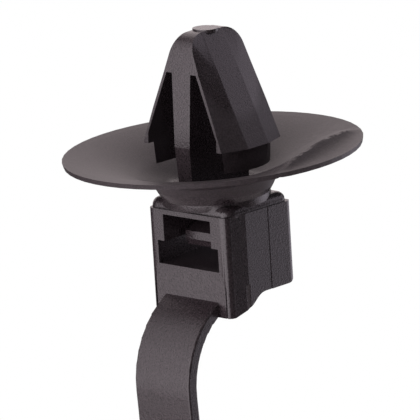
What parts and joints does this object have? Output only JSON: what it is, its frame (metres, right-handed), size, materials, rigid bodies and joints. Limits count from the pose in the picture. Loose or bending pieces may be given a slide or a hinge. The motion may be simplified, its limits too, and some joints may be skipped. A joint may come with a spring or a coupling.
{
  "type": "panel-mount cable tie",
  "caption": "Moulded cable tie with a slotted arrowhead anchor, a dished disc, a buckle head with a pawl and a toothed strap, to hold a cable bundle to a panel.",
  "frame": {"origin": "on the anchor's axis, at the level of the disc's rim, where the panel's near face lies", "axes": "+Z along the anchor, pointing into the panel hole and along the part's length; -Y the side on which the strap leaves the head; X across the strap"},
  "size_m": [0.019, 0.019, 0.1667],
  "materials": {
    "black_nylon": "satin, finely grained"
  },
  "bodies": {
    "root": {"cable_tie": "black_nylon"}
  },
  "joints": []
}
